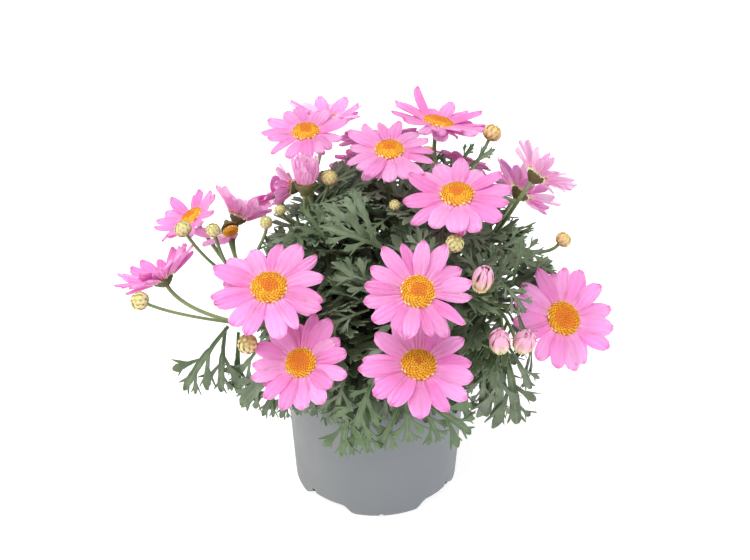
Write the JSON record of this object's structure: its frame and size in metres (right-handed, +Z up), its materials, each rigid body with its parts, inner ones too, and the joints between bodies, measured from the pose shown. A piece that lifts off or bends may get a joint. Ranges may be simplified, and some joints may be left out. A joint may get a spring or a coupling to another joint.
{
  "type": "potted marguerite daisy",
  "caption": "Bushy marguerite daisy with pink flowers, yellow discs, buds and lobed grey-green leaves, growing in a tapered grey plastic nursery pot that stands on its base.",
  "frame": {"origin": "middle of the pot's base, on the surface the pot stands on", "axes": "+Z up along the pot's axis, -Y towards the viewer of the picture, +X to the viewer's right"},
  "size_m": [0.3075, 0.2755, 0.2421],
  "materials": {
    "pot": "satin",
    "soil": "matte",
    "wood": "matte",
    "leaf": "satin",
    "petal": "satin",
    "disc": "matte",
    "bud": "satin"
  },
  "bodies": {
    "root": {"pot": "pot", "potting_soil": "soil", "woody_stem": "wood", "petals_top_left": "petal", "disc_top_left": "disc", "petals_top_left_rear": "petal", "disc_top_left_rear": "disc", "petals_half_open": "petal", "disc_half_open": "disc", "petals_half_open_rear": "petal", "disc_half_open_rear": "disc", "petals_top_centre": "petal", "disc_top_centre": "disc", "petals_top_rear": "petal", "disc_top_rear": "disc", "petals_top_right": "petal", "disc_top_right": "disc", "petals_upper_right": "petal", "disc_upper_right": "disc", "petals_rear_right": "petal", "disc_rear_right": "disc", "petals_far_right": "petal", "disc_far_right": "disc", "petals_far_right_rear": "petal", "disc_far_right_rear": "disc", "petals_far_left": "petal", "disc_far_left": "disc", "petals_left_rear": "petal", "disc_left_rear": "disc", "petals_faded": "petal", "disc_faded": "disc", "petals_low_left": "petal", "disc_low_left": "disc", "petals_front_left": "petal", "disc_front_left": "disc", "petals_front_low_left": "petal", "disc_front_low_left": "disc", "petals_front_centre": "petal", "disc_front_centre": "disc", "petals_front_low": "petal", "disc_front_low": "disc", "petals_right": "petal", "disc_right": "disc", "petals_back": "petal", "disc_back": "disc", "petals_back_left": "petal", "disc_back_left": "disc", "bud_opening_upper": "bud", "bud_opening_inner": "bud", "bud_opening_outer": "bud", "shoot_front_left": "leaf", "shoot_front_right": "leaf", "shoot_right": "leaf", "shoot_upper_right": "leaf", "shoot_rear_right": "leaf", "shoot_top": "leaf", "shoot_upper_left": "leaf", "shoot_left": "leaf", "shoot_low_left": "leaf", "shoot_back": "leaf"}
  },
  "joints": []
}
